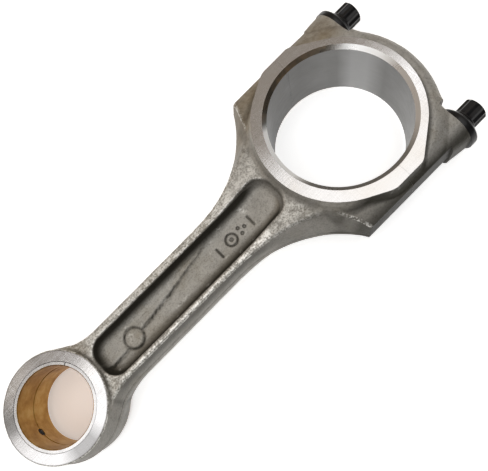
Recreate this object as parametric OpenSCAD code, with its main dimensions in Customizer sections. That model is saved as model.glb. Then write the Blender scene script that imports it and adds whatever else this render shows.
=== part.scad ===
// Connecting rod for a small diesel engine: a forged I-beam rod with a straight-cut,
// bolted bearing cap and a wrapped bimetal bush pressed into the small end.
// Millimetres. Origin: centre of the big-end bore on the mid-plane of the rod.
// +X runs up the shank to the small end, +Z is the bore axis, +Y crosses the two bolts.

/* [Centres and bores] */
// Distance between the two bore centres
centre_distance = 155; // [151:0.5:160]
// Radius of the big-end housing bore, machined with the cap bolted on
big_bore_r = 28; // [27:0.1:28.2]
// Running radius of the small-end bush, for the piston pin
pin_bore_r = 15.5; // [14.5:0.1:15.7]

/* [Big end] */
// Half the width of the big end between its ground side faces
big_half_width = 16; // [15:0.25:18]
// Outer radius of the ground side face on the rod half
rod_face_r = 34.2; // [33.4:0.1:35]
// Outer radius of the ground side face on the cap half
cap_face_r = 32.5; // [31.5:0.1:33.2]
// Radial size of the lead-in chamfer at the upper mouth of the big bore
mouth_chamfer = 1.7; // [0.6:0.1:2.2]
// Edge break at the lower mouth of the big bore
lower_chamfer = 0.5; // [0.3:0.1:1.2]
// Distance of each bolt axis from the rod's centre line
bolt_offset = 33.1; // [32.9:0.1:33.5]
// Radius of the barrel-shaped bolt bosses
boss_r = 11; // [10:0.25:11.5]
// Distance of the milled side flats from the centre line, at mid-plane
side_flat = 38.3; // [38.2:0.1:39]
// Outer radius of the cap's crown band at its mid-plane
crown_r = 40.5; // [39.5:0.25:42]

/* [Shank] */
// Half the depth of the I-beam over its ribs
rib_half_depth = 10; // [9.25:0.25:11]
// Half the width of the I-beam at the edge of the ribs
rib_half_width = 11.6; // [11:0.1:12.2]
// Width of each rib along its top edge
rib_top = 2.1; // [1.6:0.1:3]
// Half the thickness of the web between the pockets
web_half = 3.8; // [3:0.1:5]
// Fillet radius where the web meets the ribs
web_fillet = 4.2; // [2.5:0.1:5]

/* [Small end] */
// Half the width of the small end between its side faces
small_half_width = 11.5; // [11.25:0.25:13]
// Outer radius of the eye at its side faces
eye_r = 21.6; // [20.5:0.1:23]
// Radius of the oil hole through the crown of the eye
oil_hole_r = 1.75; // [1:0.05:2.5]

/* [Bolts] */
// Radius of the bolt thread, over its crests
thread_r = 3.5; // [3.3:0.05:3.6]
// Width across the points of the twelve-point head
head_points = 10.3; // [9.6:0.1:10.6]
// Radius of the flange under the head
flange_r = 9.4; // [8.8:0.1:9.5]
// Length of the bolt under its flange
bolt_length = 46; // [44:0.5:47]

/* [Hidden] */
$fn = 96;
L = centre_distance;
seat_x = -29.2;               // plane of the bolt seats on the cap
flat_end = 20.5;              // where the milled side flats stop
boss_side = 40.8;             // forged side of the bosses past the flats
boss_y = 31;                  // centre of the boss barrels, a little inside the bolts
pilot_r = thread_r + 0.15;    // fitted band of the bolt at the joint
hole_r = pilot_r + 0.05;      // reamed bolt hole
tap_r = thread_r + 0.05;      // threaded hole, over its roots
bush_out_r = pin_bore_r + 1.5;
steel_wall = 1.0;
eye_mid_r = eye_r + 1;
mid_w = rib_half_width + 1.3; // half width of the shank at the flash line
flare_r = 54;                 // plan radius of the run from shank to shoulder
flare_x = 70;
flare_y = mid_w + flare_r;
neck_r = 28;                  // plan radius of the run from shank to eye
neck_y = mid_w + neck_r;
neck_x = L - sqrt(pow(eye_mid_r + neck_r, 2) - neck_y * neck_y);
top_z = 12;                   // forged surface around the big end
groove_r = pin_bore_r + 0.2;

module both_sides() { children(); mirror([0, 1, 0]) children(); }
module both_faces() { children(); mirror([0, 0, 1]) children(); }
// runs a section drawn in Y and Z along X from x0 to x1
// milled side of the big end, leaning in a little above and below the mid-plane
module side_mill(x0, x1) along_x(x0, x1)
    polygon([[side_flat, 0], [side_flat - 2, 20], [60, 20], [60, -20], [side_flat - 2, -20]]);
module along_x(x0, x1) translate([x0, 0, 0]) rotate([90, 0, 90]) linear_extrude(x1 - x0) children();
// runs a profile drawn in X and Z across Y
module across_y(half) rotate([90, 0, 0]) linear_extrude(2 * half, center = true) children();

// ---- ground side faces ------------------------------------------------------
module rod_face_outline() {
    intersection() {
        circle(r = rod_face_r);
        translate([0, -50]) square([60, 100]);
    }
    a = 50.4;
    both_sides2() polygon([[0, 0], [0, 35], [7.3, 35], [rod_face_r * cos(a), rod_face_r * sin(a)]]);
}
module cap_face_outline() {
    intersection() {
        circle(r = cap_face_r);
        translate([-60, -50]) square([60, 100]);
    }
    a = 126.3;
    both_sides2() polygon([[0, 0], [0, 35], [-7, 35], [cap_face_r * cos(a), cap_face_r * sin(a)]]);
}
module both_sides2() { children(); mirror([0, 1]) children(); }

// ---- bolt bosses --------------------------------------------------------------
module boss_section(side) {
    intersection() {
        union() {
            translate([boss_y, 0]) circle(r = boss_r);
            translate([15, -boss_r]) square([boss_y - 15, 2 * boss_r]);
        }
        translate([0, -20]) square([side, 40]);
    }
}
// bolt hole: reamed through the cap and into the rod, then tapped to a blind end
module bolt_hole() translate([0, bolt_offset, 0]) rotate([0, 90, 0]) {
    translate([0, 0, seat_x - 1]) cylinder(r = hole_r, h = -seat_x + 8);
    translate([0, 0, 6.9]) cylinder(r = tap_r, h = 11.6);
    translate([0, 0, 18.5]) cylinder(r1 = tap_r, r2 = 0.4, h = 1.9);
    translate([0, 0, -0.5]) cylinder(r = hole_r + 0.4, h = 0.9);
    // countersink at the seat, clear of the fillet under the bolt's flange
    translate([0, 0, seat_x - 0.1]) cylinder(r1 = hole_r + 0.8, r2 = hole_r, h = 0.8);
}

// ---- shank ----------------------------------------------------------------------
module beam_section() {
    polygon([[-rib_half_width, rib_half_depth], [rib_half_width, rib_half_depth], [mid_w, 0],
        [rib_half_width, -rib_half_depth], [-rib_half_width, -rib_half_depth], [-mid_w, 0]]);
}
module pocket_section() {
    w = rib_half_width - rib_top;
    translate([-w, web_half + web_fillet]) square([2 * w, 20]);
    translate([-w + web_fillet, web_half]) square([2 * (w - web_fillet), 20]);
    for (s = [-1, 1]) translate([s * (w - web_fillet), web_half + web_fillet]) circle(r = web_fillet, $fn = 64);
}
module pocket_plan() {
    w = rib_half_width - rib_top;
    c = 7;
    x0 = 36;
    x1 = L - 22.6;
    translate([x0 + c, -w]) square([x1 - x0 - 2 * c, 2 * w]);
    translate([x0, -w + c]) square([x1 - x0, 2 * (w - c)]);
    for (x = [x0 + c, x1 - c]) for (s = [-1, 1]) translate([x, s * (w - c)]) circle(r = c, $fn = 64);
}
module pocket() {
    intersection() {
        along_x(20, L) pocket_section();
        linear_extrude(40) pocket_plan();
    }
}
// drafted cutters that sweep the sides in from the shoulders and out to the eye
module flare_cutter() translate([flare_x, flare_y, 0])
    both_faces() cylinder(r1 = flare_r, r2 = flare_r + 20 * 0.3, h = 20, $fn = 240);
module neck_cutter() translate([neck_x, neck_y, 0])
    both_faces() cylinder(r1 = neck_r, r2 = neck_r + 20 * 0.13, h = 20, $fn = 160);

module rod_blank() {
    linear_extrude(2 * big_half_width, center = true) rod_face_outline();
    difference() {
        union() {
            both_sides() along_x(0, 46) boss_section(boss_side);
            across_y(boss_y) polygon([[5, -boss_r], [22, -boss_r], [33, -top_z], [40, -top_z], [58, -rib_half_depth],
                [flare_x, -rib_half_depth], [flare_x, rib_half_depth], [58, rib_half_depth], [40, top_z],
                [33, top_z], [22, boss_r], [5, boss_r]]);
        }
        both_sides() flare_cutter();
    }
    along_x(40, L - 10) beam_section();
    difference() {
        translate([neck_x - 2, -20, -rib_half_depth]) cube([L - neck_x - 6, 40, 2 * rib_half_depth]);
        both_sides() neck_cutter();
    }
    translate([L, 0, 0]) both_faces() cylinder(r1 = eye_mid_r, r2 = eye_r, h = small_half_width, $fn = 160);
}

module rod_body() color([0.44, 0.43, 0.41]) {
    difference() {
        rod_blank();
        both_faces() pocket();
        // nothing of the rod lies beyond the joint
        translate([-60, -60, -30]) cube([60, 120, 60]);
        // milled side flats
        both_sides() side_mill(-1, flat_end + 6);
        big_bore();
        both_sides() bolt_hole();
        // small-end bore for the bush, with a chamfer at each face
        translate([L, 0, 0]) {
            cylinder(r = bush_out_r, h = 60, center = true, $fn = 160);
            both_faces() translate([0, 0, small_half_width - 0.5]) cylinder(r1 = bush_out_r, r2 = bush_out_r + 0.6, h = 0.6, $fn = 160);
        }
        oil_hole();
        // shallow ring groove in the web near the eye
        both_faces() translate([117, 0, web_half - 0.3]) difference() {
            cylinder(r = 4.3, h = 2);
            translate([0, 0, -1]) cylinder(r = 3.7, h = 4);
        }
    }
}

// big-end bore with its two mouths
module big_bore() {
    cylinder(r = big_bore_r, h = 80, center = true, $fn = 200);
    // wide lead-in on the upper side face, a small edge break on the lower one
    translate([0, 0, big_half_width - 1.3])
        cylinder(r1 = big_bore_r, r2 = big_bore_r + mouth_chamfer * 1.4 / 1.3, h = 1.4, $fn = 200);
    translate([0, 0, -big_half_width - 0.1])
        cylinder(r1 = big_bore_r + lower_chamfer + 0.1, r2 = big_bore_r, h = lower_chamfer + 0.1, $fn = 200);
}
module oil_hole() translate([L + 10, 0, 0]) rotate([0, 90, 0]) cylinder(r = oil_hole_r, h = 30, $fn = 48);

// ---- cap ------------------------------------------------------------------------
module crown_profile() {
    polygon([[20, -big_half_width + 2], [cap_face_r, -12.8], [cap_face_r + 3.4, -12], [crown_r - 2.6, -9.8],
        [crown_r - 0.9, -6.5], [crown_r - 0.3, -3], [crown_r, 0], [crown_r - 0.3, 3], [crown_r - 0.9, 6.5],
        [crown_r - 2.6, 9.8], [cap_face_r + 3.4, 12], [cap_face_r, 12.8], [20, big_half_width - 2]]);
}
// the crown sinks to the height of the bolt boss on its way to the joint, so cap and rod meet flush
module crown_run_out() difference() {
    translate([-14, boss_y, -20]) cube([14.5, 20, 40]);
    translate([-14.1, boss_y, 0]) rotate([0, 90, 0]) cylinder(r1 = boss_r + 4, r2 = boss_r, h = 14.1);
    translate([-0.1, boss_y, 0]) rotate([0, 90, 0]) cylinder(r = boss_r, h = 1);
}
module cap() color([0.45, 0.44, 0.42]) {
    difference() {
        union() {
            linear_extrude(2 * big_half_width, center = true) cap_face_outline();
            difference() {
                rotate_extrude($fn = 200) crown_profile();
                both_sides() crown_run_out();
            }
            both_sides() along_x(seat_x, 0) boss_section(boss_side);
        }
        translate([0, -60, -30]) cube([60, 120, 60]);
        big_bore();
        both_sides() side_mill(-flat_end, 1);
        // bolt seats, spot-faced flat across each boss
        both_sides() translate([seat_x - 20, bolt_offset - 9.9, -30]) cube([20, 30, 60]);
        both_sides() bolt_hole();
    }
}

// ---- small-end bush -----------------------------------------------------------------
bush_half = small_half_width - 0.35;
module bush_backing() color([0.72, 0.71, 0.69]) translate([L, 0, 0]) difference() {
    union() {
        cylinder(r = bush_out_r, h = 2 * (bush_half - 0.5), center = true, $fn = 160);
        both_faces() translate([0, 0, bush_half - 0.5]) cylinder(r1 = bush_out_r, r2 = bush_out_r - 0.3, h = 0.5, $fn = 160);
    }
    cylinder(r = bush_out_r - steel_wall, h = 60, center = true, $fn = 160);
    translate([-L, 0, 0]) oil_hole();
}
module bush_lining() color([0.72, 0.55, 0.33]) translate([L, 0, 0]) difference() {
    cylinder(r = bush_out_r - steel_wall, h = 2 * bush_half, center = true, $fn = 160);
    cylinder(r = pin_bore_r, h = 60, center = true, $fn = 160);
    both_faces() translate([0, 0, bush_half - 0.35]) cylinder(r1 = pin_bore_r, r2 = pin_bore_r + 0.4, h = 0.4, $fn = 160);
    // oil groove round the middle of the bush
    rotate_extrude($fn = 160) translate([pin_bore_r - 1, -0.25]) square([1.2, 0.5]);
    translate([-L, 0, 0]) oil_hole();
}

// ---- bolts ----------------------------------------------------------------------------
// profile along the bolt, measured from the seat, then turned about its axis
module bolt_profile() {
    waist = thread_r - 0.4;
    polygon([[0, -6.2], [5.1, -6.2], [5.3, -5.4], [6.4, -4.3], [flange_r - 0.8, -3.2], [flange_r - 0.15, -2.8], [flange_r, -2.4],
        [flange_r - 0.1, -0.3], [flange_r - 0.4, 0], [pilot_r + 0.45, 0], [waist + 0.1, 0.9], [waist, 3],
        [waist, -seat_x - 8], [pilot_r, -seat_x - 7], [pilot_r, -seat_x + 5], [waist - 0.1, -seat_x + 5.8],
        [waist - 0.1, -seat_x + 7.2], [thread_r, -seat_x + 7.8], [thread_r, bolt_length - 1],
        [thread_r - 0.9, bolt_length], [0, bolt_length]]);
}
module twelve_point(across, h) linear_extrude(h)
    for (a = [0, 30]) rotate(a) circle(r = across / 2, $fn = 6);
module bolt(side) color([0.09, 0.09, 0.09]) translate([seat_x, side * bolt_offset, 0]) rotate([0, 90, 0]) {
    difference() {
        union() {
            rotate_extrude($fn = 96) bolt_profile();
            intersection() {
                translate([0, 0, -12.9]) twelve_point(head_points, 8);
                translate([0, 0, -12.9]) cylinder(r1 = head_points / 2 - 0.7, r2 = head_points / 2 + 7, h = 8);
            }
        }
        // dished top of the head
        translate([0, 0, -12.91]) cylinder(r1 = 2.6, r2 = 1.7, h = 1.2);
    }
}
module bolt_left() bolt(-1);
module bolt_right() bolt(1);

rod_body();
cap();
bush_backing();
bush_lining();
bolt_left();
bolt_right();
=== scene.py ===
import math
import bpy
import numpy as np
from mathutils import Matrix, Vector


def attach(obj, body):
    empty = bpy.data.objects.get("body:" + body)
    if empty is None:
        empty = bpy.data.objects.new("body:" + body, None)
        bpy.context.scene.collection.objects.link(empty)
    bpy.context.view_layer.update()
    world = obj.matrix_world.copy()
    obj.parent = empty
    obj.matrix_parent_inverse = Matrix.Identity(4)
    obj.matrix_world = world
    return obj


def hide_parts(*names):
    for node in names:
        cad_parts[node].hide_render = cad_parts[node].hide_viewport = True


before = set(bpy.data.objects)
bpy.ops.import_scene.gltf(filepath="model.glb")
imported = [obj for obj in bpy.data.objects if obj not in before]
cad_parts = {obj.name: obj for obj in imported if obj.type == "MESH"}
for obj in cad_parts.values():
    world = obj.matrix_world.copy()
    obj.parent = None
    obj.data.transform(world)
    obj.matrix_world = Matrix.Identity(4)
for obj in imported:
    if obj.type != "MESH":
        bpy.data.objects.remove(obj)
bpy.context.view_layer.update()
STEP = 0.45      # grid of the forged bodies, mm
L = 155.0                          # centre distance, mm

# ------------------------------------------------------------------ numbers
def smax(a, b, r):
    """the larger of two distances, with the edge between them rounded to r"""
    return np.minimum(np.maximum(a, b), -r) + np.hypot(np.maximum(a + r, 0), np.maximum(b + r, 0))


def smin(a, b, r):
    """the smaller of two distances, with a fillet of radius r"""
    return np.maximum(np.minimum(a, b), r) - np.hypot(np.maximum(r - a, 0), np.maximum(r - b, 0))


def ss(e0, e1, v):
    t = np.clip((v - e0) / (e1 - e0), 0, 1)
    return t * t * (3 - 2 * t)


def lattice(p, scale, seed):
    """smooth value noise in -1..1 at points p (n, 3)"""
    q = p / scale
    i = np.floor(q).astype(np.int64)
    f = q - i
    f = f * f * (3 - 2 * f)
    out = np.zeros(len(p))
    for a in (0, 1):
        for b in (0, 1):
            for c in (0, 1):
                h = (i[:, 0] + a) * 73856093 ^ (i[:, 1] + b) * 19349663 ^ (i[:, 2] + c) * 83492791 ^ seed * 2654435
                h = (h ^ (h >> 13)) * 1274126177
                h = ((h ^ (h >> 16)) & 0xFFFF) / 32767.5 - 1.0
                w = (f[:, 0] if a else 1 - f[:, 0]) * (f[:, 1] if b else 1 - f[:, 1]) * (f[:, 2] if c else 1 - f[:, 2])
                out += h * w
    return out


# ------------------------------------------------------------------ forged shapes as distance fields, mm
def hub(x, ya, az, ring, ear, tang):
    """drafted upstand that carries the ground side face: a ring with two ears"""
    u = np.abs(x) if ring < 34 else x
    nx = tang / ring
    ny = math.sqrt(1 - nx * nx)
    outline = np.hypot(x, ya) - ring
    e = smax(ya - ear, nx * u + ny * ya - ring, 0.8)
    e = np.maximum(e, u - tang)
    outline = np.minimum(outline, e)
    draft = 0.11 + 0.33 * ss(15, 25, x)   # the shank side leans out far more
    return np.maximum(outline - (16 - az) * draft, az - 17.4)


def flash_line(az):
    return 0.22 * (1 - ss(0.6, 1.0, az))


def web_parts(x, y):
    """strip, its sunk border, disc and the disc's sunk border, each 0..1 over the web"""
    edge = np.interp(x, [60, 76, 84, 94, 101, 111, 117, 122, 132, 150], [-9.5, -4.9, -4.0, -2.3, -1.5, -0.2, 0.9, 2.2, 2.6, 2.6])
    edge = edge + 0.16 * np.sin(x * 1.9) * np.sin(x * 0.83 + 1)
    strip = ss(0.5, -0.5, y - edge) * ss(66, 82, x)
    groove = np.exp(-((y - edge - 0.5) / 0.85) ** 2) * ss(72, 96, x)
    r = np.hypot(x - 116.9, y - 0.5)
    return strip, groove * ss(4.2, 4.9, r), ss(4.5, 3.9, r), np.exp(-((r - 4.2) / 0.55) ** 2)


def web_relief(x, y):
    """low raised strip beside the left rib and a ringed disc, mm above the web"""
    strip, groove, disc, ring = web_parts(x, y)
    return 0.4 * strip * (1 - disc) + 0.3 * disc - 0.24 * groove - 0.42 * ring


def mark(x, y):
    """generic forged mark in a row along the web, 0..1: a bar, a ringed pip, three pips and a bar"""
    r = np.hypot(x - 62.2, y - 0.4)
    d = np.exp(-((r - 2.5) / 0.36) ** 2) + ss(1.0, 0.5, r)
    for bx, by, half in ((69.3, 1.0, 2.1), (51.4, 0.5, 2.2)):
        q = np.hypot(x - bx, np.maximum(np.abs(y - by) - half, 0))
        d = d + np.exp(-(q / 0.42) ** 2)
    for px, py in ((57.2, 1.7), (57.2, -1.1), (54.8, 0.3)):
        d = d + ss(0.95, 0.45, np.hypot(x - px, y - py))
    return np.minimum(d, 1.0)


def rod_sdf(x, y, z):
    y0 = np.abs(y)
    y = y - 0.4 * ss(42, 62, x) * ss(142, 128, x)     # the shank runs a little to one side of the centre line
    ya, az = np.abs(y), np.abs(z)
    x0 = x
    x = x + 0.6 * ss(45, 32, x)
    zt = 11 + ss(22, 33, x) - 2 * ss(41, 60, x)
    top = np.hypot(np.maximum(ya - 31, 0), az * (11 / zt)) - 11
    body = smax(top, ya - 40.8, 1.6)
    # plan curves of the flash line (f) and of the upper edge (t), from the shoulders to the eye
    qf = np.sqrt(np.maximum(54.0 ** 2 - (x - 70) ** 2, 60.0))
    f = 66.9 - qf
    slope = (x - 70) / qf
    t = 96.6 - np.sqrt(np.maximum(85.0 ** 2 - (x - 70) ** 2, 1.0)) + 14 * ss(31, 19, x)
    mid = (x > 70) & (x < 125.2)
    far = x >= 125.2
    qn = np.sqrt(np.maximum(28.0 ** 2 - (x - 125.2) ** 2, 40.0))
    f = np.where(mid, 12.9, np.where(far, 40.9 - qn, f))
    slope = np.where(mid, 0, np.where(far, (x - 125.2) / qn, slope))
    t = np.where(mid, 11.5, np.where(far, 40.8 - np.sqrt(np.maximum(29.3 ** 2 - (x - 125.2) ** 2, 40.0)), t))
    p = 1 + 0.6 * ss(62, 36, x)
    u = np.clip(az / zt, 0, 1.25)
    wall = ya - (f + (t - f) * u ** p)
    wall = wall / np.sqrt(1 + slope ** 2 + ((t - f) / zt) ** 2)
    body = smax(body, wall - flash_line(az), 0.85)
    x = x0
    body = smax(body, x - 144.5, 5.0)
    eye = np.hypot(x - L, y) - (22.6 - 0.087 * az) - flash_line(az)
    eye = smax(eye, az - 11.62, 0.8)
    s = smin(body, eye, 1.3)
    s = smin(s, hub(x, y0, az, 34.2, 35.0, 16.4), 1.4 + 0.4 * ss(8, 18, x))
    # pocket in each face, with drafted walls and a filleted floor
    w = 8.65
    c = 6.6
    x0, x1 = 36.2, 132.4
    dx = np.abs(x - (x0 + x1) / 2) - (x1 - x0) / 2 + c
    dy = np.abs(y - 0.45) - w + c
    plan = np.hypot(np.maximum(dx, 0), np.maximum(dy, 0)) + np.minimum(np.maximum(dx, dy), 0) - c
    floor = 3.8 + 5.6 * ss(54, 34, x) + np.where(z > 0, web_relief(x, y) - 0.6 * mark(x, y), 0.0)
    pocket = smax(plan + (10 - az) * 0.09, floor - az, 4.0)
    return np.maximum(smax(s, -pocket, 0.7), -1.2 - x)   # closed a little past the joint, which is cut flat later


def cap_sdf(x, y, z):
    ya, az = np.abs(y), np.abs(z)
    rho = np.hypot(x, y)
    # the crown sinks to the height of the bolt bosses on its way to the joint
    sink = ss(-24, -2, x) * (1.6 + 3.6 * ss(31, 38.5, ya))
    crown = smax(rho - (40.25 - 0.011 * z * z) - flash_line(az), az - 12.3 - 0.05 * (40.5 - rho) + sink, 3.4)
    top = np.hypot(np.maximum(ya - 31, 0), az) - 11
    side = 39.35 + 0.35 * (y < 0) + 0.18 * np.clip(-x - 21, 0, 12) + 1.45 * ss(-18, -10, x)
    boss = smax(top - flash_line(az), ya - side, 1.3)
    boss = smax(boss, -x - 31.5, 0.5)
    s = smin(crown, boss, 2.2)
    return np.maximum(smin(s, hub(x, ya, az, 32.5, 35.0, 19.0), 1.4), x - 1.2)


# ------------------------------------------------------------------ grid to mesh
CORNERS = np.array([(a, b, c) for c in (0, 1) for b in (0, 1) for a in (0, 1)])
EDGES = [(a, b) for a in range(8) for b in range(a + 1, 8) if np.abs(CORNERS[a] - CORNERS[b]).sum() == 1]


def nets(sdf, lo, hi, step):
    n = [int(math.ceil((h - l) / step)) + 1 for l, h in zip(lo, hi)]
    ax = [lo[k] + step * np.arange(n[k]) for k in range(3)]
    f = np.empty(n, np.float32)
    for i0 in range(0, n[0], 24):   # slabs keep memory small
        g = np.meshgrid(ax[0][i0:i0 + 24], ax[1], ax[2], indexing="ij")
        f[i0:i0 + 24] = sdf(*g)
    f[np.abs(f) < 1e-6] = 1e-6
    s = f < 0
    cnt = sum(s[a:n[0] - 1 + a, b:n[1] - 1 + b, c:n[2] - 1 + c].astype(np.int8) for a, b, c in CORNERS)
    active = (cnt > 0) & (cnt < 8)
    ijk = np.argwhere(active)
    idx = np.full(active.shape, -1, np.int32)
    idx[active] = np.arange(len(ijk), dtype=np.int32)
    vals = np.stack([f[ijk[:, 0] + a, ijk[:, 1] + b, ijk[:, 2] + c] for a, b, c in CORNERS], 1).astype(float)
    acc = np.zeros((len(ijk), 3))
    num = np.zeros(len(ijk))
    for a, b in EDGES:
        va, vb = vals[:, a], vals[:, b]
        m = (va < 0) != (vb < 0)
        t = np.where(m, va / np.where(m, va - vb, 1), 0)
        acc += (CORNERS[a] + (CORNERS[b] - CORNERS[a]) * t[:, None]) * m[:, None]
        num += m
    v = (ijk + acc / num[:, None]) * step + np.array(lo)
    quads = []
    for k in range(3):
        a, b = (k + 1) % 3, (k + 2) % 3
        sl0 = [slice(1, -1)] * 3
        sl1 = [slice(1, -1)] * 3
        sl0[k], sl1[k] = slice(0, -1), slice(1, None)
        s0, s1 = s[tuple(sl0)], s[tuple(sl1)]
        e = np.argwhere(s0 != s1)
        inside = s0[tuple(e.T)]
        base = e.copy()
        base[:, a] += 1
        base[:, b] += 1
        q = []
        for da, db in ((-1, -1), (0, -1), (0, 0), (-1, 0)):
            c = base.copy()
            c[:, a] += da
            c[:, b] += db
            q.append(idx[tuple(c.T)])
        q = np.stack(q, 1)
        q[~inside] = q[~inside][:, ::-1]
        quads.append(q)
    quads = np.concatenate(quads)
    for _ in range(3):
        f0, g = gradient(sdf, v)
        v = v - np.clip(f0, -0.4, 0.4)[:, None] * g
    return v, quads, gradient(sdf, v)[1]


def gradient(sdf, p, h=0.03):
    f0 = sdf(p[:, 0], p[:, 1], p[:, 2])
    g = np.empty_like(p)
    for k in range(3):
        q = p.copy()
        q[:, k] += h
        r = p.copy()
        r[:, k] -= h
        g[:, k] = (sdf(*q.T) - sdf(*r.T)) / (2 * h)
    n = np.linalg.norm(g, axis=1)
    n[n < 1e-6] = 1
    return f0, g / n[:, None]


def mesh_of(name, v, faces):
    """faces is an (n, k) array"""
    me = bpy.data.meshes.new(name)
    faces = np.asarray(faces)
    me.vertices.add(len(v))
    me.vertices.foreach_set("co", np.asarray(v, np.float32).ravel())
    k = faces.shape[1]
    me.loops.add(faces.size)
    me.loops.foreach_set("vertex_index", faces.ravel().astype(np.int32))
    me.polygons.add(len(faces))
    me.polygons.foreach_set("loop_start", np.arange(len(faces), dtype=np.int32) * k)
    me.update(calc_edges=True)
    me.validate()
    return me


def new_obj(name, me):
    o = bpy.data.objects.new(name, me)
    bpy.context.scene.collection.objects.link(o)
    return o


def ring_solid(rings, close=True):
    """verts and side quads for a stack of closed rings, each (n, 3); the ends are left open"""
    n = len(rings[0])
    v = np.concatenate(rings)
    faces = []
    i = np.arange(n)
    j = (i + 1) % n
    for k in range(len(rings) - 1):
        faces.append(np.stack([k * n + i, k * n + j, (k + 1) * n + j, (k + 1) * n + i], 1))
    return v, np.concatenate(faces), n


def tri_mesh(name, v, quads, extra):
    """quads plus extra triangles, as one mesh"""
    me = bpy.data.meshes.new(name)
    polys = [tuple(q) for q in quads.tolist()] + [tuple(t) for t in extra]
    me.from_pydata([tuple(p) for p in np.asarray(v, float).tolist()], [], polys)
    me.validate()
    me.update()
    return me


def lathe(name, profile, seg, axis="z"):
    """closed solid turned from (r, z) points; the first and last points lie on the axis when their r is 0"""
    a = 2 * math.pi * np.arange(seg) / seg
    rings, tips = [], []
    for r, z in profile:
        if r <= 1e-9:
            tips.append(z)
            continue
        rings.append(np.stack([r * np.cos(a), r * np.sin(a), np.full(seg, z)], 1))
    v, quads, n = ring_solid(rings)
    extra = []
    lo = len(v)
    v = np.vstack([v, [0, 0, tips[0]], [0, 0, tips[1]]])
    for k in range(n):
        m = (k + 1) % n
        extra.append((lo, m, k))
        extra.append((lo + 1, lo - n + k, lo - n + m))
    return tri_mesh(name, v, quads, extra)


def tube_z(name, profile, seg, gap=None):
    """closed ring solid from a closed (r, z) profile; with gap=(angle, width in mm) it stays open there, like a wrapped strip"""
    m = len(profile)
    if gap is None:
        a = 2 * math.pi * np.arange(seg) / seg
    else:
        half = gap[1] / 2 / profile[0][0]
        a = gap[0] + half + (2 * math.pi - 2 * half) * np.arange(seg) / (seg - 1)
    pr = np.array(profile)
    v = np.stack([np.outer(np.cos(a), pr[:, 0]), np.outer(np.sin(a), pr[:, 0]), np.tile(pr[:, 1], (len(a), 1))], 2).reshape(-1, 3)
    quads = []
    last = seg if gap is None else seg - 1
    for k in range(last):
        n = (k + 1) % seg
        for i in range(m):
            j = (i + 1) % m
            quads.append((k * m + i, n * m + i, n * m + j, k * m + j))
    extra = []
    if gap is not None:
        extra = [tuple(range(m)), tuple((seg - 1) * m + i for i in reversed(range(m)))]
    return tri_mesh(name, v, np.array(quads), extra)


def prism(name, pts, lo, hi, axis):
    """closed prism: pts is a counter-clockwise outline in the two other axes (cyclic order), run from lo to hi along axis"""
    n = len(pts)
    v = []
    for h in (lo, hi):
        for p, q in pts:
            c = [0, 0, 0]
            c[axis], c[(axis + 1) % 3], c[(axis + 2) % 3] = h, p, q
            v.append(c)
    quads = np.array([(i, (i + 1) % n, n + (i + 1) % n, n + i) for i in range(n)])
    extra = [tuple(reversed(range(n))), tuple(range(n, 2 * n))]
    return tri_mesh(name, np.array(v, float), quads, extra)


def volume(me):
    me.calc_loop_triangles()
    co = np.empty(len(me.vertices) * 3)
    me.vertices.foreach_get("co", co)
    co = co.reshape(-1, 3)
    t = np.empty(len(me.loop_triangles) * 3, np.int32)
    me.loop_triangles.foreach_get("vertices", t)
    t = co[t.reshape(-1, 3)]
    return float(np.einsum("ij,ij->i", t[:, 0], np.cross(t[:, 1], t[:, 2])).sum() / 6)


def join(name, meshes):
    v, polys, o = [], [], 0
    for me in meshes:
        v += [tuple(p.co) for p in me.vertices]
        polys += [tuple(i + o for i in p.vertices) for p in me.polygons]
        o += len(me.vertices)
    out = bpy.data.meshes.new(name)
    out.from_pydata(v, [], polys)
    out.update()
    return out


def cut(obj, *cutters):
    for me in cutters:
        if volume(me) < 0:
            me.flip_normals()
        tool = new_obj("tool", me)
        before = volume(obj.data)
        for solver in ("MANIFOLD", "EXACT"):
            m = obj.modifiers.new("cut", "BOOLEAN")
            m.object, m.operation, m.solver = tool, "DIFFERENCE", solver
            dg = bpy.context.evaluated_depsgraph_get()
            res = bpy.data.meshes.new_from_object(obj.evaluated_get(dg))
            obj.modifiers.clear()
            after = volume(res) if len(res.polygons) else 0
            if 0 < after < before - 1e-3:
                obj.data = res
                break
            print("cut with", me.name, solver, "left the piece as it was:", round(before), round(after))
        bpy.data.objects.remove(tool)


def mirrored(me, ax):
    out = me.copy()
    s = [1, 1, 1]
    s[ax] = -1
    out.transform(Matrix.Diagonal((*s, 1)))
    out.flip_normals()
    return out


def finish_mesh(me, classify, slots, angle=32):
    """scale to metres, give each face its finish, sharpen real edges"""
    me.materials.clear()
    for s in slots:
        me.materials.append(MAT[s])
    n = len(me.polygons)
    c = np.empty(n * 3)
    me.polygons.foreach_get("center", c)
    nn = np.empty(n * 3)
    me.polygons.foreach_get("normal", nn)
    idx = classify(c.reshape(-1, 3), nn.reshape(-1, 3))
    me.polygons.foreach_set("material_index", np.asarray(idx, np.int32))
    me.polygons.foreach_set("use_smooth", np.ones(n, bool))
    me.transform(Matrix.Scale(0.001, 4))
    me.update()
    me.set_sharp_from_angle(angle=math.radians(angle))
    # a cut face always ends in a crisp edge, however shallow the corner
    idx = np.asarray(idx, np.int32)
    count = np.empty(n, np.int32)
    me.polygons.foreach_get("loop_total", count)
    edge = np.empty(len(me.loops), np.int32)
    me.loops.foreach_get("edge_index", edge)
    per_loop = np.repeat(idx, count)
    lo = np.full(len(me.edges), 99, np.int32)
    hi = np.full(len(me.edges), -1, np.int32)
    np.minimum.at(lo, edge, per_loop)
    np.maximum.at(hi, edge, per_loop)
    sharp = np.zeros(len(me.edges), bool)
    at = me.attributes.get("sharp_edge") or me.attributes.new("sharp_edge", "BOOLEAN", "EDGE")
    at.data.foreach_get("value", sharp)
    at.data.foreach_set("value", sharp | (hi > lo))


# ------------------------------------------------------------------ finishes
MAT = {}


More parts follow.
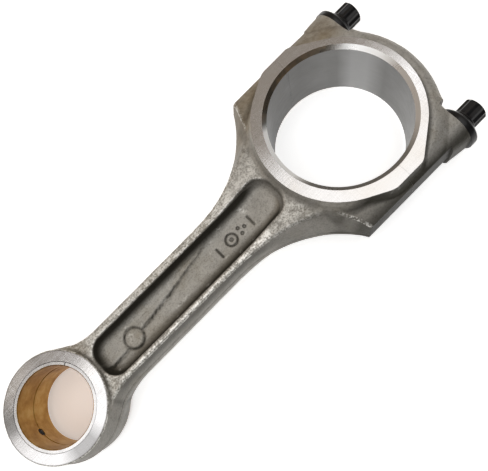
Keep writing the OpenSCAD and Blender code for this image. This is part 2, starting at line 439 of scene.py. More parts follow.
class Nodes:
    def __init__(self, name):
        self.m = bpy.data.materials.new(name)
        self.m.use_nodes = True
        self.t = self.m.node_tree
        self.b = self.t.nodes["Principled BSDF"]
        self.co = self.t.nodes.new("ShaderNodeTexCoord").outputs["Object"]
        MAT[name] = self.m

    def link(self, a, b):
        self.t.links.new(a, b)

    def mapping(self, scale, rot=(0, 0, 0)):
        n = self.t.nodes.new("ShaderNodeMapping")
        n.inputs["Scale"].default_value = scale
        n.inputs["Rotation"].default_value = rot
        self.link(self.co, n.inputs["Vector"])
        return n.outputs[0]

    def noise(self, scale, detail=3.0, rough=0.55, vec=None, dist=0.0):
        n = self.t.nodes.new("ShaderNodeTexNoise")
        n.inputs["Scale"].default_value = scale
        n.inputs["Detail"].default_value = detail
        n.inputs["Roughness"].default_value = rough
        n.inputs["Distortion"].default_value = dist
        self.link(vec or self.co, n.inputs["Vector"])
        return n.outputs["Fac"]

    def voronoi(self, scale, vec=None):
        n = self.t.nodes.new("ShaderNodeTexVoronoi")
        n.inputs["Scale"].default_value = scale
        self.link(vec or self.co, n.inputs["Vector"])
        return n.outputs["Distance"]

    def ramp(self, fac, stops):
        n = self.t.nodes.new("ShaderNodeValToRGB")
        r = n.color_ramp
        while len(r.elements) < len(stops):
            r.elements.new(0.5)
        for e, (p, c) in zip(r.elements, stops):
            e.position = p
            e.color = (*c, 1) if len(c) == 3 else c
        self.link(fac, n.inputs[0])
        return n.outputs[0]

    def mix(self, fac, a, b, mode="MIX"):
        n = self.t.nodes.new("ShaderNodeMix")
        n.data_type = "RGBA"
        n.blend_type = mode
        for s, v in ((n.inputs[0], fac), (n.inputs[6], a), (n.inputs[7], b)):
            if hasattr(v, "is_linked"):
                self.link(v, s)
            elif isinstance(v, (int, float)):
                s.default_value = v
            else:
                s.default_value = (*v, 1)
        return n.outputs[2]

    def math(self, op, a, b=0.0, c=None):
        n = self.t.nodes.new("ShaderNodeMath")
        n.operation = op
        for k, v in enumerate((a, b) if c is None else (a, b, c)):
            if hasattr(v, "is_linked"):
                self.link(v, n.inputs[k])
            else:
                n.inputs[k].default_value = v
        return n.outputs[0]

    def span(self, v, lo, hi, to_lo=0.0, to_hi=1.0):
        n = self.t.nodes.new("ShaderNodeMapRange")
        n.clamp = True
        self.link(v, n.inputs[0])
        for k, x in zip((1, 2, 3, 4), (lo, hi, to_lo, to_hi)):
            n.inputs[k].default_value = x
        return n.outputs[0]

    def xyz(self):
        n = self.t.nodes.new("ShaderNodeSeparateXYZ")
        self.link(self.co, n.inputs[0])
        return n.outputs

    def bump(self, height, strength, distance):
        n = self.t.nodes.new("ShaderNodeBump")
        n.inputs["Strength"].default_value = strength
        n.inputs["Distance"].default_value = distance
        self.link(height, n.inputs["Height"])
        self.link(n.outputs[0], self.b.inputs["Normal"])

    def set(self, **kw):
        for k, v in kw.items():
            s = self.b.inputs[k.replace("_", " ")]
            if hasattr(v, "is_linked"):
                self.link(v, s)
            else:
                s.default_value = (*v, 1) if isinstance(v, tuple) else v


def forged(name, tint):
    """shot-blasted forging: "tone" is painted shade that darkens hollows, walls and undersides, "rib" and "curv"
    brighten worn tops and edges, "oily" browns it
    """
    m = Nodes(name)

    def attr(which):
        n = m.t.nodes.new("ShaderNodeAttribute")
        n.attribute_name = which
        return n.outputs["Fac"]

    big = m.noise(60, 3, 0.6)
    mid = m.noise(430, 4, 0.62)
    grit = m.noise(1400, 3, 0.6)
    pits = m.voronoi(900)
    painted_shade_tone, rib, curv, oily = attr("painted_shade_tone"), attr("rib"), attr("curv"), attr("oily")
    times = lambda k: tuple(min(1.0, k * c) for c in tint)
    col = m.ramp(big, [(0.3, (0.84 * tint[0], 0.80 * tint[1], 0.72 * tint[2])), (0.5, tint), (0.72, times(1.2))])
    col = m.mix(m.span(mid, 0.35, 0.7, 0.0, 0.45), col, times(1.4))
    col = m.mix(m.span(grit, 0.34, 0.52, 0.32, 0.0), col, (0.07, 0.064, 0.05))
    # dried oil, brown and olive in clouds
    col = m.mix(m.math("MULTIPLY", oily, m.span(big, 0.3, 0.7, 0.45, 0.9)), col, m.mix(m.span(mid, 0.35, 0.65), (0.20, 0.145, 0.078), (0.34, 0.28, 0.19)))
    # painted shade: the colour runs to near black where "tone" is low, in hollows, on walls and under bosses
    col = m.mix(m.span(painted_shade_tone, 0.15, 1.0, 0.94, 0.0), col, (0.030, 0.027, 0.018))
    # worn metal on rib tops and edges, broken up by pits
    worn = m.math("MAXIMUM", m.math("MULTIPLY", rib, 0.95), m.span(curv, 0.3, 0.9, 0.0, 0.7))
    broken = m.span(m.math("ADD", m.math("MULTIPLY_ADD", mid, 0.8, m.math("MULTIPLY", grit, 0.85)), m.math("MULTIPLY", rib, 0.04)), 0.75, 0.94, 0.0, 1.0)
    shine = m.math("MULTIPLY", worn, broken)
    col = m.mix(shine, col, (0.90, 0.885, 0.84))
    m.set(Base_Color=col, Metallic=m.span(shine, 0.0, 1.0, 0.55, 0.8), Roughness=m.span(m.math("ADD", shine, m.math("MULTIPLY", grit, -0.35)), -0.2, 0.8, 0.58, 0.38))
    h = m.math("ADD", m.math("MULTIPLY", grit, 0.8), m.math("MULTIPLY", m.span(pits, 0.0, 0.35), 0.55))
    h = m.math("ADD", h, m.math("MULTIPLY", mid, m.span(rib, 0.0, 1.0, 0.9, 2.2)))
    m.bump(h, 0.6, 0.00024)
    return m


def ground(name, base, rough, scratch=0.35, rot=0.5, warm=(0.60, 0.55, 0.49), specks=0.3, metal=0.9, painted_light_sectors=(), centre=0.155):
    m = Nodes(name)
    v = m.mapping((60, 1800, 60), (0, 0, rot))
    w = m.mapping((1800, 60, 60), (0, 0, rot + 0.35))
    fine = m.noise(1.0, 2, 0.5, vec=v)
    fine2 = m.noise(1.0, 2, 0.5, vec=w)
    cloud = m.noise(55, 3, 0.6)
    speck = m.noise(900, 3, 0.7)
    col = m.mix(m.span(cloud, 0.42, 0.72, 0.0, 0.45), base, warm)
    col = m.mix(m.span(speck, 0.64, 0.76, 0.0, specks), col, (0.35, 0.33, 0.3))
    if painted_light_sectors:
        # painted highlight and shade: the turned face is made lighter or darker in sectors round its centre, in place
        # of its directional reflections
        gx, gy, gz = m.xyz()
        turn = m.math("ARCTAN2", gy, m.math("SUBTRACT", gx, centre))
        for mid, half, grey in painted_light_sectors:
            off = m.math("ABSOLUTE", m.math("SUBTRACT", m.math("ABSOLUTE", turn) if abs(mid) > 2.7 else turn, mid))
            col = m.mix(m.span(off, half, 0.35 * half, 0.0, 1.0), col, (grey, grey, grey * 1.01))
        if centre:
            # the broken outer edge of the eye face is darker
            out = m.math("POWER", m.math("ADD", m.math("POWER", m.math("SUBTRACT", gx, centre), 2.0), m.math("POWER", gy, 2.0)), 0.5)
            col = m.mix(m.span(out, 0.0208, 0.0213, 0.0, 0.85), col, (0.10, 0.10, 0.10))
    lines = m.math("ADD", m.math("MULTIPLY", fine, 0.6), m.math("MULTIPLY", fine2, 0.4))
    m.set(Base_Color=col, Metallic=metal, Specular_IOR_Level=0.5 if metal > 0.5 else 0.25, Roughness=m.span(lines, 0.35, 0.65, rough - 0.04, rough + 0.04))
    m.bump(lines, scratch, 0.00003)
    return m


forged("forged", (0.41, 0.392, 0.357))
forged("forged_cap", (0.43, 0.415, 0.385))
ground("ground_face", (0.56, 0.552, 0.55), 0.18, warm=(0.51, 0.475, 0.43), scratch=0.25, centre=0.0,
       painted_light_sectors=((3.0, 0.55, 0.70), (-0.12, 0.34, 0.69)))
ground("ground_small", (0.64, 0.64, 0.652), 0.18, rot=1.1, scratch=0.25, warm=(0.56, 0.56, 0.575), specks=0.12,
       painted_light_sectors=((1.57, 0.58, 0.31), (-0.40, 0.36, 0.36), (-1.28, 0.55, 0.84), (3.14, 0.42, 0.82)))
# painted shade: a near-black, matt finish for the milled side flats and the bolt-hole walls, also given to the dark
# part of the bush seam
ground("milled", (0.042, 0.040, 0.036), 0.6, rot=1.57, warm=(0.03, 0.027, 0.022), specks=0.12, metal=0.05)
ground("seat_face", (0.80, 0.79, 0.77), 0.36, rot=0.9)
ground("joint_face", (0.75, 0.74, 0.72), 0.3)
m = Nodes("chamfer")
cl = m.noise(120, 3, 0.6)
# painted highlight and shade: the chamfer is light on the cap side and dark towards the shank; where y is below about
# -21 mm it turns brown and darker, partly brown colour and partly painted shade
col = m.mix(m.span(m.xyz()[1], -0.0235, -0.0185, 0.9, 0.0), m.mix(m.span(m.xyz()[0], -0.018, -0.006), (0.80, 0.79, 0.78), (0.34, 0.336, 0.322)),
            m.mix(m.span(cl, 0.4, 0.6), (0.22, 0.18, 0.13), (0.46, 0.31, 0.18)))
# painted highlight: a lighter, matt arc on one side of the shank end
cx, cy, cz = m.xyz()
painted_highlight_arc = m.math("MULTIPLY", m.math("MULTIPLY", m.span(cx, 0.013, 0.017), m.span(cy, -0.0195, -0.0165)), m.span(cy, 0.004, 0.011, 1.0, 0.0))
col = m.mix(painted_highlight_arc, col, (1.0, 0.998, 0.99))
m.set(Base_Color=col, Metallic=m.span(painted_highlight_arc, 0.0, 1.0, 0.9, 0.0), Roughness=m.span(cl, 0.3, 0.7, 0.24, 0.36))
m.bump(m.noise(1.0, 2, 0.5, vec=m.mapping((200, 200, 2200))), 0.05, 0.00002)

# honed bore: fine criss-cross marks
m = Nodes("bore")
h1 = m.noise(1.0, 2, 0.5, vec=m.mapping((200, 200, 2600), (0.0, 0.0, 0.0)))
cl = m.noise(60, 3, 0.6)
col = m.mix(m.span(cl, 0.35, 0.7), (0.155, 0.153, 0.147), (0.195, 0.193, 0.188))
# painted shade: the bore is made darker towards the shank side
col = m.mix(m.span(m.xyz()[0], -0.016, 0.014, 0.0, 0.8), col, (0.055, 0.052, 0.047))
bx, by, bz = m.xyz()
# painted highlight: a lighter band on the cap side; painted shade: darker low on the shank side
painted_highlight_band = m.math("MULTIPLY", m.math("MULTIPLY", m.span(by, -0.0200, -0.0155), m.span(by, -0.0100, -0.0020, 1.0, 0.0)), m.span(bx, -0.006, -0.012))
col = m.mix(m.math("MULTIPLY", painted_highlight_band, 0.85), col, (0.33, 0.328, 0.325))
low = m.math("MULTIPLY", m.span(bx, 0.010, 0.020), m.span(bz, 0.006, -0.008))
col = m.mix(m.math("MULTIPLY", low, 0.85), col, (0.012, 0.011, 0.010))
m.set(Base_Color=col, Metallic=0.8, Roughness=m.span(h1, 0.3, 0.7, 0.34, 0.44))
m.bump(h1, 0.2, 0.00002)

# bush: bright steel edge, bronze lining
m = Nodes("bush_steel")
h1 = m.noise(1.0, 2, 0.5, vec=m.mapping((300, 300, 3000)))
m.set(Base_Color=m.mix(m.span(m.noise(300, 3), 0.3, 0.7), (0.63, 0.63, 0.637), (0.68, 0.68, 0.687)), Metallic=0.9, Roughness=m.span(h1, 0.3, 0.7, 0.22, 0.3))
m.bump(h1, 0.2, 0.00002)
m = Nodes("bronze")
h1 = m.noise(1.0, 2, 0.5, vec=m.mapping((150, 150, 3200)))
cl = m.noise(160, 4, 0.65)
col = m.ramp(cl, [(0.34, (0.35, 0.175, 0.032)), (0.52, (0.46, 0.26, 0.06)), (0.68, (0.53, 0.34, 0.105))])
# redder towards the shank
col = m.mix(m.span(m.xyz()[0], 0.141, 0.160, 0.75, 0.0), col, m.ramp(cl, [(0.34, (0.22, 0.080, 0.012)), (0.6, (0.35, 0.155, 0.032)), (0.72, (0.48, 0.30, 0.16))]))
m.set(Base_Color=col, Metallic=0.8, Roughness=m.span(cl, 0.3, 0.7, 0.5, 0.38))
m.bump(h1, 0.25, 0.00002)

# black oxide: nearly black, oiled
m = Nodes("oxide")
cl = m.noise(260, 4, 0.6)
col = m.mix(m.span(cl, 0.35, 0.7), (0.007, 0.007, 0.008), (0.016, 0.0155, 0.0155))
m.set(Base_Color=col, Metallic=0.3, Roughness=m.span(cl, 0.3, 0.75, 0.28, 0.42), Specular_IOR_Level=0.28, Coat_Weight=0.12, Coat_Roughness=0.1)
m.bump(m.noise(1800, 3, 0.6), 0.12, 0.00003)

m = Nodes("floor")
# painted bounce light and shadow: the floor under the small bore is painted warm and made less emissive, for the
# bronze's bounce light and the shade under the bore
px, py, pz = m.xyz()
far = m.math("POWER", m.math("ADD", m.math("POWER", m.math("SUBTRACT", px, 0.155), 2.0), m.math("POWER", py, 2.0)), 0.5)
outside_painted_pool = m.span(far, 0.017, 0.021)
m.set(Base_Color=m.mix(outside_painted_pool, (0.92, 0.83, 0.77), m.mix(m.span(m.noise(9, 2), 0.3, 0.7), (0.93, 0.93, 0.93), (0.95, 0.95, 0.945))), Roughness=0.9,
      Specular_IOR_Level=0.1, Emission_Color=m.mix(outside_painted_pool, (0.95, 0.84, 0.76), (1.0, 1.0, 1.0)), Emission_Strength=m.span(outside_painted_pool, 0.0, 1.0, 0.34, 0.62))

# ------------------------------------------------------------------ forged bodies, then machining
def rib_mask(v, nz):
    """1 on the rib tops of the shank, 0 elsewhere"""
    x, az = v[:, 0], np.abs(v[:, 2])
    return np.abs(nz) ** 3 * ss(8.9, 9.6, az) * ss(11.6, 10.9, az) * ss(40, 54, x) * ss(147, 138, x)


def displaced(v, g, name):
    """forged skin: low waves everywhere, and pitted rib tops"""
    amp = 0.05 * lattice(v, 7.0, 3) + 0.035 * lattice(v, 2.6, 5) + 0.03 * lattice(v, 1.1, 9)
    if name == "rod":
        amp = amp + rib_mask(v, g[:, 2]) * (0.07 * lattice(v, 1.5, 21) - 0.10 * np.maximum(lattice(v, 1.0, 33), 0))
    return v + g * amp[:, None]


def finish_attributes(me, sdf, name):
    """how each point of the forged skin is worn, stained or painted with shade, from the shape itself; the mesh is in
    mm
    """
    n = len(me.vertices)
    v = np.empty(n * 3)
    me.vertices.foreach_get("co", v)
    v = v.reshape(-1, 3)
    f0, g = gradient(sdf, v)
    h = 0.75
    lap = -6 * f0
    for k in range(3):
        for sgn in (-1, 1):
            q = v.copy()
            q[:, k] += sgn * h
            lap = lap + sdf(*q.T)
    curv = np.clip(lap / h ** 2, -1.5, 1.5)
    x, y, z = v.T
    ya, az = np.abs(y), np.abs(z)
    wall = 1 - np.abs(g[:, 2])
    # painted shade: walls and concave hollows are made darker
    painted_shade_tone = 1 - 0.50 * wall - 0.45 * np.clip(-curv, 0, 0.8)
    rib = np.zeros(n)
    oily = np.zeros(n)
    wear = curv * ss(7.5, 9.0, az)
    rough = lattice(v * (0.45, 1, 1), 1.1, 51) * 0.6 + lattice(v, 0.7, 52) * 0.4
    if name == "rod":
        ys = y - 0.4
        dx = np.abs(x - 84.3) - 48.1 + 6.6
        dy = np.abs(ys - 0.45) - 8.65 + 6.6
        plan = np.hypot(np.maximum(dx, 0), np.maximum(dy, 0)) + np.minimum(np.maximum(dx, dy), 0) - 6.6
        pocket = ss(1.0, 0.2, plan) * ss(9.6, 8.8, az)
        inside = ss(-2.7, -0.4, plan) * pocket * ss(38, 47, x) * (x < 136)
        # painted shade on the pocket walls, deeper on the left wall (y below 0) than on the right
        painted_shade_tone = painted_shade_tone - inside * np.where(ys < 0, 0.56, 0.36) * (1 - 0.35 * ss(122, 131, x))
        wear = wear * (1 - ss(0.6, -0.2, plan) * ss(43, 50, x) * (x < 136))
        # painted shade in the sunk borders of the relief and of the mark
        strip, groove, disc, ring = web_parts(x, ys)
        web = ss(6.2, 5.2, az) * ss(0.0, -0.8, plan) * (z > 0)
        painted_shade_tone = painted_shade_tone - web * np.clip(groove * (0.26 + 0.65 * rough) + ring * (0.30 + 0.5 * rough) + 0.17 * mark(x, ys), 0, 0.9)
        wear = wear + web * 0.75 * np.maximum(lattice(v * (0.5, 1, 1), 1.5, 61), 0)
        painted_shade_tone = painted_shade_tone + web * 0.10 * strip
        rib = rib_mask(v, g[:, 2]) * np.where(y < 0, 0.68, 1.0) * (1 - 0.55 * ss(124, 136, x))
        flat = np.abs(g[:, 2]) ** 4 * ss(9.6, 10.6, az) * ss(13.2, 12.6, az)
        near = np.exp(-((ya - 12) / 5.0) ** 2) * ss(30, 36, x) * ss(62, 52, x)
        rib = np.maximum(rib, flat * 0.5 * near)
        rib = np.maximum(rib, np.abs(g[:, 2]) ** 3 * 0.24 * ss(132, 137, x) * ss(9.0, 9.8, az) * ss(11.2, 10.4, az) * (x < 150))
        # painted shade: the plateau beside the ring is darker than the shank
        painted_shade_tone = painted_shade_tone - 0.16 * ss(60, 45, x) * ss(10.4, 11.2, az) * (1 - near)
        # machining oil dried on the left shoulder, and where the shank meets the eye
        oily = ss(-17, -27, y) * ss(62, 40, x) + 0.8 * ss(128, 137, x) * ss(152, 146, x) * ss(-4, -9, y)
        # painted shade on the right side near the big end
        painted_shade_tone = painted_shade_tone - 0.16 * ss(20, 30, y) * ss(45, 25, x)
        # a brown-green film on the right wall of the pocket; painted shade also darkens that wall, most at the big end
        oily = np.maximum(oily, 0.6 * ss(-5.5, -1.0, plan) * pocket * ss(1, 5, ys))
        painted_shade_tone = painted_shade_tone - (0.38 + 0.18 * ss(105, 75, x)) * ss(-7.2, -1.2, plan) * pocket * ss(0, 4, ys) * ss(36, 44, x)
        # painted shade on the outer wall under the right rib, darkest just below the rib
        outer = ss(0.4, 0.8, wall) * (y > 8) * (1 - pocket) * ss(44, 58, x) * ss(140, 128, x)
        painted_shade_tone = painted_shade_tone - outer * (0.36 * ss(2.0, 7.5, z) - 0.04)
        # painted shade on the right side near the big end outside the pocket, deeper towards the outer side of the
        # right bolt boss
        painted_shade_tone = painted_shade_tone - 0.13 * (1 - pocket) * ss(56, 46, x) * ss(2, 12, y)
        painted_shade_tone = painted_shade_tone - 0.38 * ss(31, 38, y) * ss(45, 30, x)
        # less painted shade on the smooth turned run beside the ring and on the ramp at the end of the pocket
        rho = np.hypot(x, y)
        turned = ss(33.6, 34.4, rho) * ss(38.6, 37.0, rho) * ss(14, 22, x) * ss(11.6, 12.6, az)
        painted_shade_tone = painted_shade_tone + 0.30 * turned + 0.30 * ss(-1.6, -3.2, plan) * pocket * ss(56, 47, x)
    else:
        oily = ss(-20, -30, y) * ss(-40, -20, x)
        # painted shade on the right side of the cap towards the bolt boss, deepest at its outer side; a little less on
        # the outer crown
        painted_shade_tone = painted_shade_tone - 0.16 * ss(24, 32, y) - 0.56 * ss(33.5, 38, y)
        painted_shade_tone = painted_shade_tone + 0.10 * ss(36, 38, np.hypot(x, y)) * ss(30, 22, ya)
    for key, val in (("painted_shade_tone", np.clip(painted_shade_tone, 0, 1.0)), ("rib", rib), ("curv", wear), ("oily", np.clip(oily, 0, 1))):
        at = me.attributes.get(key) or me.attributes.new(key, "FLOAT", "POINT")
        at.data.foreach_set("value", val.astype(np.float32))


bore_tool = [(0, -22), (34.5, -22), (28.5, -16), (28, -15.5), (28, 14.7), (29.7, 16), (37.5, 22), (0, 22)]
plate = lambda z0, z1, x0, x1, y=60: prism("plate", [(x0, -y), (x1, -y), (x1, y), (x0, y)], z0, z1, 2)
side = lambda x0, x1: prism("side", [(38.55 - 2.25, 25), (38.55, 0), (38.55 - 2.25, -25), (60, -25), (60, 25)], x0, x1, 0)
SEG = 288


def hole(name, prof, y):
    me = lathe(name, prof, 48)
    me.transform(Matrix.Translation((0, y, 0)) @ Matrix.Rotation(math.radians(90), 4, "Y"))
    return me


v, q, g = nets(rod_sdf, (-1.9, -43.1, -18.3), (180.4, 43.2, 18.4), STEP)
rod = new_obj("rod_forging", mesh_of("rod_forging", displaced(v, g, "rod"), q))
cut(rod, plate(16, 24, -10, 80), plate(-24, -16, -10, 80), plate(11.5, 24, 100, 200), plate(-24, -11.5, 100, 200),
    prism("joint", [(-60, -60), (60, -60), (60, 60), (-60, 60)], -30, 0.03, 0),
    lathe("bore", bore_tool, SEG))
s = side(-5, 40)
cut(rod, s, mirrored(s, 1))
for y in (-33.3, 33.0):
    # through part, then the tapped length with its drill point
    cut(rod, hole("bolt_hole", [(0, -3), (4.15, -3), (4.15, -0.2), (3.7, 0.45), (3.7, 6.9), (3.5, 7.2), (3.5, 18.4), (0, 20.3)], y))
eye_tool = lathe("eye", [(0, -14), (19.6, -14), (17.13, -11.5), (17.0, -11.37), (17.0, 11.37), (17.13, 11.5), (19.6, 14), (0, 14)], SEG)
eye_tool.transform(Matrix.Translation((L, 0, 0)))
oil = lathe("oil", [(0, 0), (1.75, 0), (1.75, 14.6), (2.1, 15.4), (2.1, 24), (0, 24)], 40)
oil.transform(Matrix.Translation((L + 8, 0, 0)) @ Matrix.Rotation(math.radians(90), 4, "Y"))
cut(rod, eye_tool, oil)


def rod_faces(c, n):
    x, y, z = c.T
    ya, az = np.abs(y), np.abs(z)
    r = np.hypot(x, y)
    out = np.zeros(len(c), int)
    nr = -(x * n[:, 0] + y * n[:, 1]) / np.maximum(r, 1e-6)
    nz = np.abs(n[:, 2])
    out[(nz > 0.999) & (np.abs(az - 16) < 0.02)] = 1
    out[(r < 28.08) & (nr > 0.9)] = 2
    out[(r < 29.8) & (r > 27.95) & (nr > 0.3) & (nz > 0.4) & (az < 16)] = 3
    out[(np.abs(ya - 38.55 + 0.09 * az) < 0.06) & (x < 30)] = 4
    out[(n[:, 0] < -0.999) & (x < 0.1)] = 5
    out[(np.hypot(ya - 33.15, z) < 4.2) & (x < 20) & (np.abs(n[:, 0]) < 0.99)] = 4
    e = np.hypot(x - L, y)
    out[(nz > 0.999) & (np.abs(az - 11.5) < 0.02)] = 6
    out[(e < 17.5) & (az < 11.5)] = 6
    # the seam round the bush is dark on the side towards the shank only
    seam_a = np.degrees(np.arctan2(y, x - L)) % 360
    out[(e < 17.5) & (az < 11.5) & (seam_a > 152) & (seam_a < 254)] = 4
    return out


finish_attributes(rod.data, rod_sdf, "rod")
finish_mesh(rod.data, rod_faces, ["forged", "ground_face", "bore", "chamfer", "milled", "joint_face", "ground_small"])

v, q, g = nets(cap_sdf, (-42.7, -43.1, -18.3), (2.0, 43.2, 18.4), STEP)
cap = new_obj("cap_forging", mesh_of("cap_forging", displaced(v, g, "cap"), q))
cut(cap, plate(16, 24, -80, 10), plate(-24, -16, -80, 10), prism("joint", [(-60, -60), (60, -60), (60, 60), (-60, 60)], -0.03, 30, 0),
    lathe("bore", bore_tool, SEG))
s = side(-20.5, 5)
cut(cap, s, mirrored(s, 1))
SEATS = ((-33.3, -29.7), (33.0, -29.2))     # bolt axis and seat height, left and right
for y, x in SEATS:
    seat = prism("seat", [(23.2, -30), (60, -30), (60, 30), (23.2, 30)], -60, x, 0)
    cut(cap, seat if y > 0 else mirrored(seat, 1))
for y, x in SEATS:
    cut(cap, hole("bolt_hole", [(0, -40), (4.5, -40), (4.5, x), (3.7, x + 0.5), (3.7, -0.4), (4.15, 0.1), (4.15, 3), (0, 3)], y))


def cap_faces(c, n):
    x, y, z = c.T
    ya, az = np.abs(y), np.abs(z)
    r = np.hypot(x, y)
    nr = -(x * n[:, 0] + y * n[:, 1]) / np.maximum(r, 1e-6)
    nz = np.abs(n[:, 2])
    out = np.zeros(len(c), int)
    out[(nz > 0.999) & (np.abs(az - 16) < 0.02)] = 1
    out[(r < 28.08) & (nr > 0.9)] = 2
    out[(r < 29.8) & (r > 27.95) & (nr > 0.3) & (nz > 0.4) & (az < 16)] = 3
    out[(np.abs(ya - 38.55 + 0.09 * az) < 0.06) & (x > -20.6)] = 4
    out[(n[:, 0] > 0.999) & (x > -0.1)] = 5
    out[(n[:, 0] < -0.999) & (np.minimum(np.abs(x + 29.2), np.abs(x + 29.7)) < 0.02)] = 6
    out[(np.hypot(ya - 33.15, z) < 4.6) & (np.abs(n[:, 0]) < 0.99)] = 4
    return out


finish_attributes(cap.data, cap_sdf, "cap")
finish_mesh(cap.data, cap_faces, ["forged_cap", "ground_face", "bore", "chamfer", "milled", "joint_face", "seat_face"])

# ------------------------------------------------------------------ bush
seam = math.radians(215)
steel = [(17.0, -11.3), (17.0, 11.3), (16.9, 11.42), (15.82, 11.42), (15.82, 8), (15.82, 0), (15.82, -8), (15.82, -11.42), (16.9, -11.42)]
backing = new_obj("bush_backing_steel", tube_z("bush_backing_steel", steel, SEG, gap=(seam, 0.35)))
lining = [(15.82, -11.36), (15.82, 11.36), (15.72, 11.38), (15.5, 11.15), (15.5, 5), (15.5, 0.45), (15.72, 0.28), (15.72, -0.28),
          (15.5, -0.45), (15.5, -5), (15.5, -11.15), (15.72, -11.38)]
bronze = new_obj("bush_lining_bronze", tube_z("bush_lining_bronze", lining, SEG, gap=(seam, 0.3)))
for o, mat in ((backing, "bush_steel"), (bronze, "bronze")):
    if volume(o.data) < 0:
        o.data.flip_normals()
    o.data.transform(Matrix.Translation((L, 0, 0)))
    tool = lathe("oil", [(0, 0), (1.75, 0), (1.75, 24), (0, 24)], 40)
    tool.transform(Matrix.Translation((L + 8, 0, 0)) @ Matrix.Rotation(math.radians(90), 4, "Y"))
    cut(o, tool)
    finish_mesh(o.data, lambda c, n: np.zeros(len(c), int), [mat], angle=25)

# ------------------------------------------------------------------ bolts
def star(a, across):
    """radius of a twelve-point section at angle a, corner to corner = across"""
    r = 0
    for off in (0, math.pi / 6):
        t = (a + off) % (math.pi / 3) - math.pi / 6
        r = np.maximum(r, across / 2 * math.cos(math.pi / 6) / np.cos(t))
    return np.minimum(r, across / 2 - 0.06)


def bolt_mesh(name, turn):
    n = 240
    a = 2 * math.pi * np.arange(n) / n
    sec = star(a + turn, 10.3)
    rows = []   # (z, radius array)
    z0 = -13.2
    rows += [(z0 + 1.25, np.full(n, 1.0)), (z0 + 1.15, np.full(n, 1.8)), (z0 + 0.1, np.full(n, 2.5)), (z0, np.full(n, 2.65))]
    rows.append((z0, np.minimum(sec, 4.2)))
    for z in np.linspace(z0 + 0.05, z0 + 0.95, 8):
        rows.append((z, np.minimum(sec, 4.23 + 0.97 * math.sqrt(1 - (1 - (z - z0) / 1.0) ** 2))))
    for z in np.linspace(z0 + 1.2, -6.9, 6):
        rows.append((z, sec))
    for t in np.linspace(0.15, 1, 5):
        rows.append((-6.9 + 0.7 * t, sec * (1 - t * t) + 5.2 * t * t))
    for z, r in [(-6.1, 5.25), (-5.6, 5.3), (-5.35, 5.45), (-5.05, 6.0), (-4.7, 6.8), (-4.3, 7.5), (-3.8, 8.2), (-3.5, 8.62), (-3.25, 8.9), (-3.0, 9.05),
                 (-2.7, 9.1), (-0.35, 9.1), (-0.12, 9.02), (0, 8.8), (0, 4.1), (0.25, 3.6), (0.9, 3.2), (3, 3.1), (21.5, 3.1), (22.4, 3.6), (22.5, 3.65),
                 (34.4, 3.65), (34.5, 3.6), (35.3, 3.0), (36.7, 3.0)]:
        rows.append((z, np.full(n, r)))
    step = 0.125
    for z in np.arange(36.9, 45.4, step):
        ph = (z / 1.0 - a / (2 * math.pi)) % 1.0
        tri = np.abs(ph * 2 - 1)
        thread = 3.02 + 0.48 * np.clip(tri * 1.25 - 0.12, 0, 1)
        fade = np.clip((z - 36.9) / 0.9, 0, 1) * np.clip((45.6 - z) / 0.5, 0, 1)
        rows.append((z, 3.0 + (thread - 3.0) * fade))
    for z, r in [(45.5, 2.95), (46.0, 2.5), (46.0, 1.2)]:
        rows.append((z, np.full(n, r)))
    rings = [np.stack([r * np.cos(a), r * np.sin(a), np.full(n, z)], 1) for z, r in rows]
    v, quads, n = ring_solid(rings)
    lo = len(v)
    v = np.vstack([v, [0, 0, z0 + 1.3], [0, 0, 46.0]])
    extra = []
    for k in range(n):
        m = (k + 1) % n
        extra.append((lo, m, k))
        extra.append((lo + 1, lo - n + k, lo - n + m))
    me = tri_mesh(name, v, quads, extra)
    if volume(me) < 0:
        me.flip_normals()
    return me


bolts = []
for name, (y, x), turn in (("bolt_left_flanged", SEATS[0], 0.20), ("bolt_right_flanged", SEATS[1], 0.42)):
    me = bolt_mesh(name, turn)
    me.transform(Matrix.Translation((x, y, 0)) @ Matrix.Rotation(math.radians(90), 4, "Y"))
    finish_mesh(me, lambda c, n: np.zeros(len(c), int), ["oxide"], angle=24)
    bolts.append(new_obj(name, me))

# ------------------------------------------------------------------ hand over to the frame
for o, body, node, slot in ((rod, "rod", "rod_body", "forged_steel"), (cap, "cap", "cap", "forged_steel_cap"),
                            (backing, "rod", "bush_backing", "bush_steel"), (bronze, "rod", "bush_lining", "bush_bronze"),
                            (bolts[0], "bolt_left", "bolt_left", "black_oxide"), (bolts[1], "bolt_right", "bolt_right", "black_oxide")):
    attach(o, body)
    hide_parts(node)

# ------------------------------------------------------------------ floor, light, camera
floor = new_obj("floor", prism("floor", [(-3, -3), (3, -3), (3, 3), (-3, 3)], -0.03, -0.0162, 2))
floor.data.materials.append(MAT["floor"])


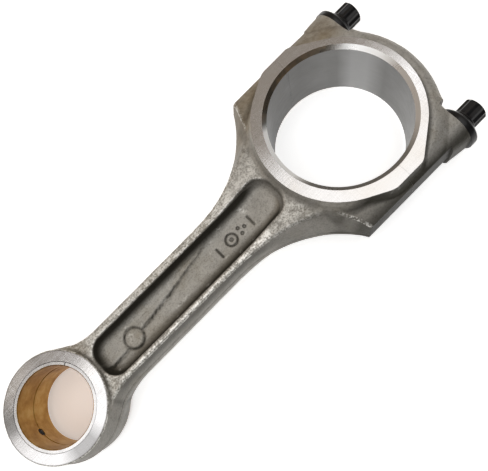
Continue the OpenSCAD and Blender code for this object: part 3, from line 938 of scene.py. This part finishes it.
def area(name, loc, size, power, color=(1, 1, 1), target=(0.06, 0, 0)):
    d = bpy.data.lights.new(name, "AREA")
    d.shape = "RECTANGLE"
    d.size, d.size_y = size
    d.energy = power
    d.color = color
    o = bpy.data.objects.new(name, d)
    bpy.context.scene.collection.objects.link(o)
    o.location = loc
    o.rotation_euler = (Vector(target) - Vector(loc)).to_track_quat("-Z", "Y").to_euler()
    return o


area("overhead", (0.285, 0.130, 1.1), (1.83, 0.94), 9.2, target=(0.285, 0.130, 0))
area("from_big_end", (-1.1, 0.1, 0.3), (0.6, 0.3), 0.2)

w = bpy.data.worlds.new("studio")
bpy.context.scene.world = w
w.use_nodes = True
# a studio that is lighter and warmer on one side, darker on the other
wn = w.node_tree
tc = wn.nodes.new("ShaderNodeTexCoord")
sep = wn.nodes.new("ShaderNodeSeparateXYZ")
wn.links.new(tc.outputs["Generated"], sep.inputs[0])
wr = wn.nodes.new("ShaderNodeValToRGB")
mr = wn.nodes.new("ShaderNodeMapRange")
wn.links.new(sep.outputs[1], mr.inputs[0])
mr.inputs[1].default_value, mr.inputs[2].default_value = -0.9, 0.6
wn.links.new(mr.outputs[0], wr.inputs[0])
els = wr.color_ramp.elements
els[0].position, els[0].color = 0.30, (0.40, 0.345, 0.29, 1)
els[1].position, els[1].color = 0.75, (0.05, 0.049, 0.047, 1)
wn.links.new(wr.outputs[0], wn.nodes["Background"].inputs[0])
wn.nodes["Background"].inputs[1].default_value = 1.0

cam = bpy.data.cameras.new("camera")
cam.sensor_width = 36
cam.sensor_fit = "HORIZONTAL"
cam.lens = 537.006 * 36 / 488
cam.shift_x = -4.0 / 488
cam.shift_y = 14.5 / 488
cam.clip_start = 0.01
camera = bpy.data.objects.new("camera", cam)
bpy.context.scene.collection.objects.link(camera)
camera.matrix_world = Matrix(((-0.70345218, -0.71042818, 0.02113819, 0.06500932),
                              (0.69226288, -0.6781211, 0.24682765, 0.0609247),
                              (-0.16101906, 0.18826463, 0.96882882, 0.20908872),
                              (0, 0, 0, 1)))
bpy.context.scene.camera = camera
bpy.context.scene.view_settings.view_transform = "Standard"
